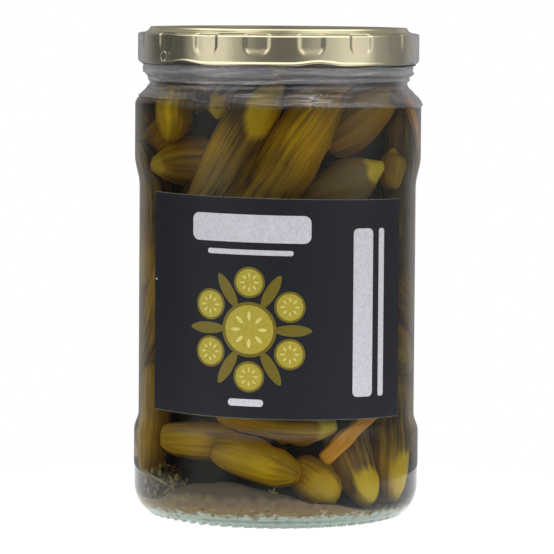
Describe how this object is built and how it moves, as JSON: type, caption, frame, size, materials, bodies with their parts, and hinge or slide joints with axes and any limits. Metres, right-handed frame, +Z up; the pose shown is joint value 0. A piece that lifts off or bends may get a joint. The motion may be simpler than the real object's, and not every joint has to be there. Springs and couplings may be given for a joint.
{
  "type": "jar of pickled gherkins",
  "caption": "Round glass jar of pickled gherkins with carrot and dill, a twist-off lid, a clear shrink band and a dark front label.",
  "frame": {"origin": "middle of the foot ring, on the surface that the jar stands on", "axes": "+Z up along the jar's axis, -Y towards the label at the front, +X to the label's right"},
  "size_m": [0.0909, 0.091, 0.1541],
  "materials": {
    "glass": "clear soda lime glass with a faint aqua tint",
    "lid_metal": "glossy pale gold lacquer on tinplate",
    "band_film": "clear shrink film",
    "label_paper": "charcoal coated paper, satin",
    "gherkin": null,
    "carrot": null,
    "dill": null
  },
  "bodies": {
    "root": {"glass_jar": "glass", "lid": "lid_metal", "shrink_band": "band_film", "label": "label_paper", "gherkins": "gherkin", "carrot_stick_low": "carrot", "carrot_stick_high": "carrot", "dill": "dill"}
  },
  "joints": []
}
